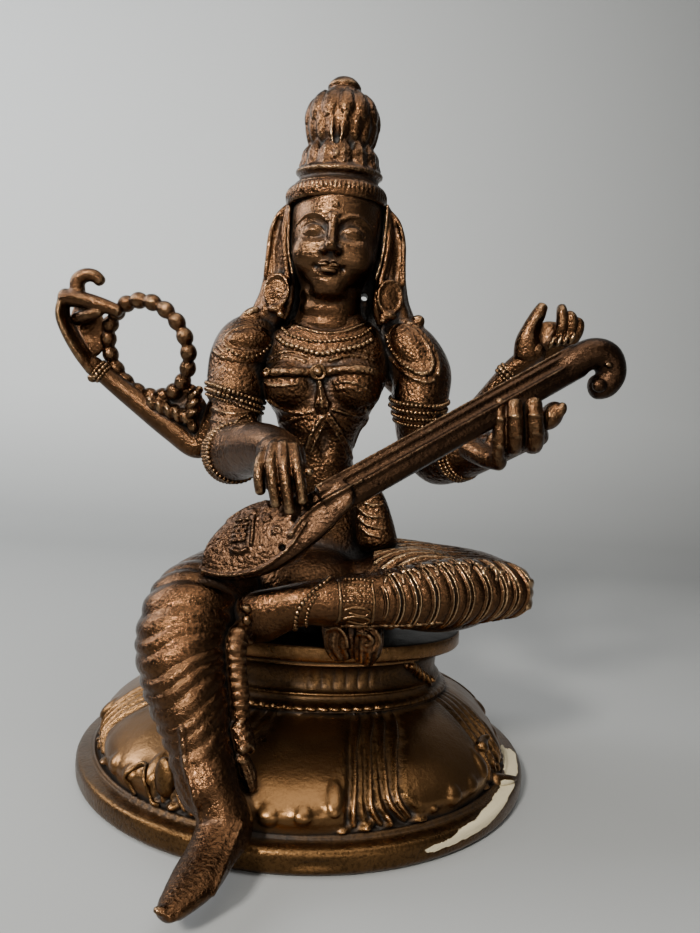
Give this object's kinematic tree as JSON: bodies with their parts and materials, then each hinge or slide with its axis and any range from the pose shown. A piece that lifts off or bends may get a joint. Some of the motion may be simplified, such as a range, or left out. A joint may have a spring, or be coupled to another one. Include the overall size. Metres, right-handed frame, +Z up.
{
  "type": "saraswati figure",
  "caption": "Small cast brass figure of the goddess Saraswati playing a veena, seated on an oval lotus pedestal.",
  "frame": {"origin": "middle of the pedestal's flat underside, on the table", "axes": "+Z up, -Y the front of the figure, +X the figure's left side"},
  "size_m": [0.1221, 0.1138, 0.1526],
  "materials": {
    "worn_brass": "worn satin brass, dark in the flutes",
    "aged_brass": "aged satin brass, dark recesses, rubbed ridges"
  },
  "bodies": {
    "root": {"pedestal": "worn_brass", "figure": "aged_brass"}
  },
  "joints": []
}
